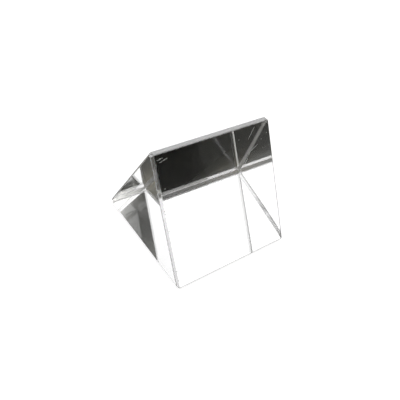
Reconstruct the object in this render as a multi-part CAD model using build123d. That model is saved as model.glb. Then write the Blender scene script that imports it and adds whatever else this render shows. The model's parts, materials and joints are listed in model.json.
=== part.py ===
from build123d import *
from math import sqrt, tan, radians
import os

# An equilateral dispersing prism: one solid block of clear optical glass with a 60 degree
# triangular section. Its five faces are polished, and every edge is ground off to a flat, so
# that it doesn't chip. The block lies on one long face. X runs along it, Y across and Z up.

# Driving dimensions, in mm
side = 25.0           # width of a long face, measured to the sharp corners of the section
length = 25.0         # from one end face to the other
ridge_bevel = 1.0     # width of the flat ground along the top edge
rear_bevel = 0.85     # width of the flat ground along the rear edge of the base
front_bevel = 0.3     # width of the flat ground along the front edge of the base
end_bevel = 0.6       # width of the flats ground round the rim of each end face


def grind(block, on_edge, face_a, face_b, width):
    """Cuts a flat of this width along the edge where two faces meet, at equal angles to both.

    on_edge is any point of the sharp edge, and face_a and face_b are the faces' outward normals.
    """
    outwards = (face_a + face_b).normalized()
    half_angle = (180 - face_a.get_angle(face_b)) / 2
    depth = width / 2 / tan(radians(half_angle))
    flat = Plane(origin=on_edge - outwards * depth, z_dir=outwards)
    return split(block, bisect_by=flat, keep=Keep.BOTTOM)


def is_end(face):
    return abs(face.normal_at().X) > 0.5


# The sawn blank has sharp edges and is centred along X. The bevels of the base's two edges
# may differ, so it stands a little to one side, and the finished base is centred across Y.
overhang = (rear_bevel - front_bevel) / 4
front_corner = Vector(0, overhang - side / 2, 0)
rear_corner = Vector(0, overhang + side / 2, 0)
ridge_corner = Vector(0, overhang, side * sqrt(3) / 2)
with BuildPart() as blank:
    with BuildSketch(Plane.YZ):
        Polygon(*[(c.Y, c.Z) for c in (front_corner, rear_corner, ridge_corner)], align=None)
    extrude(amount=length / 2, both=True)

# The three long edges are ground first, each to its own width
base_normal = Vector(0, 0, -1)
front_normal = base_normal.rotate(Axis.X, -120)
rear_normal = base_normal.rotate(Axis.X, 120)
prism = grind(blank.part, ridge_corner, front_normal, rear_normal, ridge_bevel)
prism = grind(prism, rear_corner, rear_normal, base_normal, rear_bevel)
prism = grind(prism, front_corner, base_normal, front_normal, front_bevel)

# Then the rim of each end face is ground all round, across the long faces and the flats
# between them, so that the flats meet in a mitre at every corner
ends = [face for face in prism.faces() if is_end(face)]
walls = [face for face in prism.faces() if not is_end(face)]
for end in ends:
    for wall in walls:
        middle = wall.center()
        on_rim = Vector(end.center().X, middle.Y, middle.Z)
        prism = grind(prism, on_rim, end.normal_at(), wall.normal_at(), end_bevel)

os.makedirs("parts", exist_ok=True)
export_step(prism, "parts/prism.step")
box = prism.bounding_box()
print(f"prism: {prism.volume:.1f} mm3, {len(prism.faces())} faces, box {box.min} to {box.max}")
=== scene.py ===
import json
import random
from math import cos, pi, radians, sin, tan

import bpy
from mathutils import Matrix, Vector

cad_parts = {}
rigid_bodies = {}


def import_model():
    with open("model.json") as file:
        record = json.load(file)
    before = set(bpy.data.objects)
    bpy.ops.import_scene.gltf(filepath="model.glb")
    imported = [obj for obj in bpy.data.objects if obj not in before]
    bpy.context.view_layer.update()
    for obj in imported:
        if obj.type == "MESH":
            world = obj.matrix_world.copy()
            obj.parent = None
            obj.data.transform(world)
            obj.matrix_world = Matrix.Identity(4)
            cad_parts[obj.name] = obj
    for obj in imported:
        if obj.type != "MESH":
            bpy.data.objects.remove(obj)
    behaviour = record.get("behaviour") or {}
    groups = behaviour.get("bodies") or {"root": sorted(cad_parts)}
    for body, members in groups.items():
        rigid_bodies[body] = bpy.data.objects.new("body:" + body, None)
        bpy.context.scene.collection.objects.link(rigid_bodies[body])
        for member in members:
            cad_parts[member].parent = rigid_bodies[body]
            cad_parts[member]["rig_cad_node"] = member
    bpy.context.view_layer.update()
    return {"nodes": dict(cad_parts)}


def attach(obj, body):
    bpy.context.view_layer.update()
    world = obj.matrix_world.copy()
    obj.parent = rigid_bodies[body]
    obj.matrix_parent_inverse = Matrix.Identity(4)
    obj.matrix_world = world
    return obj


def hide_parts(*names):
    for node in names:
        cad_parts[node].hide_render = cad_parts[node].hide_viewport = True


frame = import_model()
MM = 0.001

# ---------------------------------------------------------------------------------------
# The block of glass. One piece of clear barium crown, sawn from a slab, ground and polished
# on its five faces. Every edge is ground off to a flat, which stays grey and finely matt,
# and the arrises beside the flats are dulled with a stone. The shape is a copy of the CAD
# block, with the arrises taken off.
# ---------------------------------------------------------------------------------------


def linear(hex_colour, alpha=1.0):
    """An sRGB colour such as "#F4FAF6" as the linear values that a shader takes."""
    parts = [int(hex_colour[i:i + 2], 16) / 255 for i in (1, 3, 5)]
    return [c / 12.92 if c <= 0.04045 else ((c + 0.055) / 1.055) ** 2.4 for c in parts] + [alpha]


def add_node(material, kind, settings={}, links={}):
    """Adds a node. A setting is a socket's value where a socket has that name or number."""
    node = material.node_tree.nodes.new(kind)
    for name, value in settings.items():
        if isinstance(name, int) or name in node.inputs:
            node.inputs[name].default_value = value
        else:
            setattr(node, name, value)
    for name, source in links.items():
        material.node_tree.links.new(source, node.inputs[name])
    return node


def new_material(name):
    material = bpy.data.materials.new(name)
    material.use_nodes = True
    material.node_tree.nodes.clear()
    return material


def grain(material, size, detail=2.0):
    """Noise whose features are this size, in mm, along X, Y and Z."""
    place = add_node(material, "ShaderNodeTexCoord").outputs["Object"]
    scaled = add_node(material, "ShaderNodeMapping", {"Scale": [1 / (s * MM) for s in size]},
                      {"Vector": place}).outputs["Vector"]
    noise = add_node(material, "ShaderNodeTexNoise", {"Scale": 1.0, "Detail": detail},
                     {"Vector": scaled})
    return noise.outputs["Fac"]


def spread(material, value, low, high):
    """Spreads the middle half of a noise over the range from low to high."""
    ranged = add_node(material, "ShaderNodeMapRange",
                      {"From Min": 0.3, "From Max": 0.7, "To Min": low, "To Max": high},
                      {"Value": value})
    return ranged.outputs["Result"]


def glass(name, transmission, colour="#FFFFFF", roughness=0.0, links={}):
    """The clear glass that every part of the block shares, with barium crown's index.

    Only its surface differs from one part to the next.
    """
    material = new_material(name)
    inputs = {key: make(material) for key, make in links.items()}
    shader = add_node(material, "ShaderNodeBsdfPrincipled", {
        "Base Color": linear(colour), "Roughness": roughness, "IOR": 1.5688,
        "Transmission Weight": transmission}, inputs)
    add_node(material, "ShaderNodeOutputMaterial", {}, {"Surface": shader.outputs["BSDF"]})
    return material


def wiped_haze(material):
    """The trace of haze that wiping leaves on a polished face, in patches some 5 mm across."""
    return spread(material, grain(material, (5.0, 3.0, 3.0)), 0.0, 0.03)


def ground_glass(name, transmission, rough, streak):
    """Glass as the grinding lap leaves it: grey, matt, and streaked along the lap's stroke.

    The grit's real pits and streaks are some 0.02 mm across. They are drawn at 0.08 and 0.12 mm,
    so that they show in a close view.
    """
    def roughness(material):
        return spread(material, grain(material, streak), *rough)

    def normal(material):
        pits = grain(material, (0.08, 0.08, 0.08))
        return add_node(material, "ShaderNodeBump", {"Strength": 0.06, "Distance": 0.01 * MM},
                        {"Height": pits}).outputs["Normal"]

    return glass(name, transmission, "#F4F4F4",
                 links={"Roughness": roughness, "Normal": normal})


bpy.ops.object.select_all(action="DESELECT")
cad_prism = frame["nodes"]["prism"]
cad_prism.select_set(True)
bpy.context.view_layer.objects.active = cad_prism
bpy.ops.object.duplicate()
block = bpy.context.active_object
block.name = "glass_block"
del block["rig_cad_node"]
bpy.ops.object.mode_set(mode="EDIT")
bpy.ops.mesh.select_all(action="SELECT")
bpy.ops.mesh.remove_doubles(threshold=0.001 * MM)
bpy.ops.mesh.dissolve_limited(angle_limit=radians(1))
bpy.ops.object.mode_set(mode="OBJECT")

POLISHED, RIDGE, BASE_EDGE, FINE_RIM, COARSE_RIM, ARRIS, DARK_ARRIS, CHIP, CRUSHED = range(9)
block.data.materials.clear()

# The polished faces show only what is seen through them. The flats scatter the light, so the
# coarse ridge is silvery, the finer base edges and rims are nearly clear, and the far rear rim,
# which was left coarser, is blurred. Stoned arrises draw fine grey lines, darker along the foot
# and the far end of the front face and the foot of the near end. A clean chip glints, and a
# crushed scratch is dull white.
for material in (
        glass("polished_barium_crown", 1.0, links={"Roughness": wiped_haze}),
        ground_glass("coarse_ground_ridge", 0.7, (0.35, 0.55), (6.0, 0.12, 0.12)),
        ground_glass("fine_ground_base_edges", 0.8, (0.04, 0.09), (6.0, 0.12, 0.12)),
        ground_glass("fine_ground_rims", 1.0, (0.04, 0.1), (0.12, 4.0, 4.0)),
        ground_glass("coarse_ground_far_rear_rim", 0.9, (0.7, 0.9), (0.12, 4.0, 4.0)),
        glass("stoned_arris", 1.0, "#FAFAFA", roughness=0.35),
        glass("darkened_arris", 0.9, "#4A4A47", roughness=0.45),
        glass("fractured_chip", 1.0, roughness=0.2),
        glass("crushed_scratch", 0.7, "#D8DAD4", roughness=0.5)):
    block.data.materials.append(material)
smallest_polished_face = 100 * MM * MM
for face in block.data.polygons:
    if face.area > smallest_polished_face:
        face.material_index = POLISHED
    elif face.normal.x > 0.5 and face.normal.y > 0.5:
        face.material_index = COARSE_RIM
    elif abs(face.normal.x) > 0.5:
        face.material_index = FINE_RIM
    elif face.normal.z > 0.9:
        face.material_index = RIDGE
    else:
        face.material_index = BASE_EDGE

# The stone takes the arrises back by this much. Those of the front face are darker at the foot
# and the far end, and those of the near end at the foot
arris = 0.085 * MM
foot_height = 0.6 * MM
end_starts = 12 * MM
bpy.ops.object.mode_set(mode="EDIT")
bpy.ops.mesh.select_all(action="SELECT")
bpy.ops.mesh.bevel(offset=arris, segments=2, material=ARRIS)
bpy.ops.object.mode_set(mode="OBJECT")
for face in block.data.polygons:
    at_foot = face.center.z < foot_height
    on_front = face.normal.y < -0.3 and (at_foot or face.center.x > end_starts)
    on_near_end = at_foot and face.center.x < -end_starts
    if face.material_index == ARRIS and (on_front or on_near_end):
        face.material_index = DARK_ARRIS
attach(block, "root")
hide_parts("prism")

# ---------------------------------------------------------------------------------------
# The wear. Handling has knocked small shell chips out of the arrises, nearly half of them along
# the ridge, and has bruised, pitted and scratched the polish of the front face. Each is cut out
# of the block. A clean break in glass is smooth and bright, and a crushed one rough and white.
# ---------------------------------------------------------------------------------------

cutters = []


def knock(finish, centre, size, turn):
    """One shell-shaped cutter, with its centre and its size across each axis in mm."""
    bpy.ops.object.select_all(action="DESELECT")
    bpy.ops.mesh.primitive_ico_sphere_add(subdivisions=2, radius=0.5 * MM, location=centre * MM,
                                          rotation=turn)
    shell = bpy.context.active_object
    shell.scale = size
    shell.data.materials.append(block.data.materials[finish])
    cutters.append(shell)


# The ends of each arris that chips are knocked out of, in mm, and how many it has lost
chance = random.Random(7)
CHIPPED_ARRISES = (
    ((-12.07, -0.36, 20.75), (12.07, -0.36, 20.75), 12),
    ((-12.07, 0.64, 20.75), (12.07, 0.64, 20.75), 6),
    ((-12.07, -0.55, 20.36), (-12.07, -12.0, 0.55), 10),
    ((12.07, -0.55, 20.36), (12.07, -12.0, 0.55), 6),
    ((-12.48, -0.7, 20.05), (-12.48, -11.9, 0.6), 6))
for start, end, count in CHIPPED_ARRISES:
    for chip in range(count):
        place = Vector(start).lerp(Vector(end), chance.random())
        across = chance.uniform(0.12, 0.28)
        knock(CHIP, place, (across * chance.uniform(1.0, 1.8), across, across * 0.8),
              (chance.uniform(0, pi), chance.uniform(0, pi), 0))

# The bruise by the near end of the ridge is two strokes of splinters. Each splinter lies flat
# in the front face, which leans back at 60 degrees, and a little to one side of its stroke
front_slope = Vector((0, -0.5, -0.87))
front_lean = radians(60)
for start, end, count in (((-11.6, -0.8, 20.02), (-10.6, -0.72, 20.16), 9),
                          ((-11.35, -1.06, 19.57), (-9.75, -0.85, 19.94), 15)):
    for splinter in range(count):
        place = Vector(start).lerp(Vector(end), (splinter + chance.random()) / count)
        place += front_slope * chance.uniform(-0.07, 0.07)
        length = chance.uniform(0.14, 0.34)
        knock(CRUSHED, place, (length, length * 0.4, length * 0.3),
              (front_lean, 0, chance.uniform(-0.5, 0.5)))

# Pits in the polish of the front face
for x, y, z, across in ((11.43, -1.47, 18.87, 0.2), (4.96, -1.32, 19.12, 0.12),
                        (-11.24, -3.26, 15.77, 0.22), (9.99, -1.9, 18.13, 0.14)):
    knock(CRUSHED, Vector((x, y, z)), (across, across * 0.6, across * 0.4), (front_lean, 0, 0))

# The scratches at the far end of the front face, as slender spindles sunk some 0.04 mm
for start, end in (((6.74, -2.75, 16.65), (9.12, -2.22, 17.57)),
                   ((6.66, -2.92, 16.36), (6.96, -2.73, 16.69)),
                   ((6.96, -1.56, 18.71), (8.91, -0.55, 20.45)),
                   ((5.5, -3.58, 15.21), (6.41, -3.17, 15.92))):
    line = Vector(end) - Vector(start)
    middle = (Vector(start) + Vector(end)) / 2
    knock(CRUSHED, middle, (0.09, 0.06, line.length), line.to_track_quat("Z", "Y").to_euler())

bpy.ops.object.select_all(action="DESELECT")
for cutter in cutters:
    cutter.select_set(True)
bpy.context.view_layer.objects.active = cutters[0]
bpy.ops.object.join()
cutter = bpy.context.active_object
bpy.ops.object.select_all(action="DESELECT")
block.select_set(True)
bpy.context.view_layer.objects.active = block
broken = block.modifiers.new("chips", "BOOLEAN")
broken.operation = "DIFFERENCE"
broken.solver = "EXACT"
broken.use_self = True
broken.material_mode = "TRANSFER"
broken.object = cutter
bpy.ops.object.modifier_apply(modifier="chips")
bpy.data.objects.remove(cutter)

# Only the breaks are rounded. The polished faces and the ground flats stay truly flat
for face in block.data.polygons:
    face.use_smooth = face.material_index in (CHIP, CRUSHED)

# ---------------------------------------------------------------------------------------
# The studio: a white room with a large soft box overhead, and a pale floor. Glass only shows
# what is round it, so grey boards and a graduated strip light stand low at the camera's side,
# and a sheet of acrylic lies under the block, its dark graduated colour a painted shade.
# The camera doesn't see them.
# ---------------------------------------------------------------------------------------


def only_in_the_glass(sheet):
    """Hides a board from the camera, and from the light on the floor."""
    sheet.visible_camera = False
    sheet.visible_shadow = False
    sheet.visible_diffuse = False


def board(name, hex_colour, azimuths, elevations, distance):
    """A board that faces the block, between these angles in degrees, as the block sees it."""
    azimuth = radians(sum(azimuths) / 2)
    elevation = radians(sum(elevations) / 2)
    place = Vector((cos(elevation) * cos(azimuth), cos(elevation) * sin(azimuth), sin(elevation)))
    bpy.ops.object.select_all(action="DESELECT")
    bpy.ops.mesh.primitive_plane_add(size=1.0, location=place * distance,
                                     rotation=(pi / 2 - elevation, 0, azimuth + pi / 2))
    sheet = bpy.context.active_object
    sheet.name = name
    width = 2 * distance * tan(radians(azimuths[1] - azimuths[0]) / 2)
    height = 2 * distance * tan(radians(elevations[1] - elevations[0]) / 2)
    sheet.scale = (width, height, 1)
    material = new_material(name)
    glow = add_node(material, "ShaderNodeEmission", {"Color": linear(hex_colour)})
    add_node(material, "ShaderNodeOutputMaterial", {}, {"Surface": glow.outputs["Emission"]})
    sheet.data.materials.append(material)
    only_in_the_glass(sheet)
    return material, glow


def graduation(material, direction, start, end, low, high):
    """A smooth change from low to high along a direction of the object's own coordinates."""
    place = add_node(material, "ShaderNodeTexCoord").outputs["Object"]
    along = add_node(material, "ShaderNodeVectorMath", {"operation": "DOT_PRODUCT", 1: direction},
                     {0: place}).outputs["Value"]
    return add_node(material, "ShaderNodeMapRange", {
        "interpolation_type": "SMOOTHSTEP", "From Min": start, "From Max": end,
        "To Min": low, "To Max": high}, {"Value": along}).outputs["Result"]


# Plain emitting card, mirrored by the acrylic into the glass as flat greys. The black board
# deepens the upper part of the front face, and the strip light, which fades across from one
# side, pales one corner of the dark triangle in the end face
board("low_grey_board", "#7A7A74", (220, 284), (9.2, 24), 1.84)
board("left_grey_board", "#A8A8A0", (192, 222), (-2, 8), 1.84)
board("dark_bar", "#4E4E4A", (288, 294.6), (11.35, 12.3), 1.80)
for name, azimuths, elevations, distance, direction, start, end, low, high in (
        ("middle_grey_board", (284, 320), (-1, 9.5), 1.86, (1, 0, 0), -0.1, 0.4, 0.30, 0.55),
        ("black_board", (294.6, 320), (9.5, 20), 1.82, (1, 0, 0), -0.3, 0.4, 0.04, 0.55),
        ("strip_light", (286, 295), (4.3, 11.35), 1.78, (-7.2, 7.05, 0), -1.1, 1.5, 0.12, 1.8)):
    material, glow = board(name, "#FFFFFA", azimuths, elevations, distance)
    brightness = graduation(material, direction, start, end, low, high)
    material.node_tree.links.new(brightness, glow.inputs["Strength"])

# Cast acrylic, polished. Its colour is painted shade: it is nearly black, and is what makes the
# block look dark inside. It pales to olive grey from 10.5 to 19 mm behind the block's middle,
# as a painted contact shadow of the block
bpy.ops.object.select_all(action="DESELECT")
bpy.ops.mesh.primitive_circle_add(vertices=64, radius=0.5, fill_type="NGON",
                                  location=(0, 0, -0.05 * MM))
acrylic = bpy.context.active_object
acrylic.name = "acrylic_sheet_painted_shade"
material = new_material("acrylic_painted_contact_shadow")
# The painted contact shadow: the sheet's near-black fades to olive grey behind the block
painted_shadow_fade = graduation(material, (0.35 / MM, 1 / MM, 0), 10.5, 19, 0, 1)
tone = add_node(material, "ShaderNodeMix", {
    "data_type": "RGBA", 6: linear("#1A1A15"), 7: linear("#635F51")}, {0: painted_shadow_fade}).outputs[2]
shader = add_node(material, "ShaderNodeBsdfPrincipled", {"Roughness": 0.1, "IOR": 1.49},
                  {"Base Color": tone})
add_node(material, "ShaderNodeOutputMaterial", {}, {"Surface": shader.outputs["BSDF"]})
acrylic.data.materials.append(material)
only_in_the_glass(acrylic)

# A matt floor. It glows where the camera or the glass sees it, so that it looks as white as
# the room, and it still takes the block's shadow
bpy.ops.object.select_all(action="DESELECT")
bpy.ops.mesh.primitive_plane_add(size=4.0, location=(0, 0, -0.3 * MM))
floor = bpy.context.active_object
floor.name = "studio_floor"
material = new_material("pale_floor")
paths = add_node(material, "ShaderNodeLightPath").outputs
camera_or_mirror = add_node(material, "ShaderNodeMath", {"operation": "MAXIMUM"},
                            {0: paths["Is Camera Ray"], 1: paths["Is Glossy Ray"]}).outputs[0]
seen = add_node(material, "ShaderNodeMath", {"operation": "MAXIMUM"},
                {0: camera_or_mirror, 1: paths["Is Transmission Ray"]}).outputs[0]
glow_strength = 0.7
fill = add_node(material, "ShaderNodeMath", {"operation": "MULTIPLY", 1: glow_strength},
                {0: seen}).outputs[0]
matt = add_node(material, "ShaderNodeBsdfDiffuse", {"Color": linear("#A8A8A8")}).outputs["BSDF"]
light = add_node(material, "ShaderNodeEmission", {"Color": linear("#FFFFFF")}, {"Strength": fill})
both = add_node(material, "ShaderNodeAddShader", {}, {0: matt, 1: light.outputs["Emission"]})
add_node(material, "ShaderNodeOutputMaterial", {}, {"Surface": both.outputs["Shader"]})
floor.data.materials.append(material)

world = bpy.data.worlds.new("white_room")
bpy.context.scene.world = world
world.use_nodes = True
room = world.node_tree.nodes["Background"].inputs
room["Color"].default_value = linear("#FFFFFF")
room["Strength"].default_value = 1.0

bpy.ops.object.light_add(type="AREA", location=(0, 0, 0.6))
soft_box = bpy.context.active_object
soft_box.name = "overhead_soft_box"
soft_box.data.size = 1.7
soft_box.data.energy = 2.9

# ---------------------------------------------------------------------------------------
# The camera looks down on the front face and the near end.
# ---------------------------------------------------------------------------------------

camera_data = bpy.data.cameras.new("camera")
camera = bpy.data.objects.new("camera", camera_data)
bpy.context.scene.collection.objects.link(camera)
camera_data.sensor_width = 36.0
camera_data.lens = 43.508
camera_data.clip_start = 1 * MM
heading, tilt, roll = radians(-43.293), radians(90 - 43.293), radians(11.447)
turn = Matrix.Rotation(heading, 4, "Z") @ Matrix.Rotation(tilt, 4, "X")
turn = turn @ Matrix.Rotation(roll, 4, "Z")
camera.matrix_world = Matrix.Translation(Vector((-46.055, -48.763, 68.622)) * MM) @ turn
bpy.context.scene.camera = camera

bpy.context.scene.view_settings.view_transform = "Standard"
bpy.context.scene.cycles.max_bounces = 32
bpy.context.scene.cycles.glossy_bounces = 24
bpy.context.scene.cycles.transmission_bounces = 24
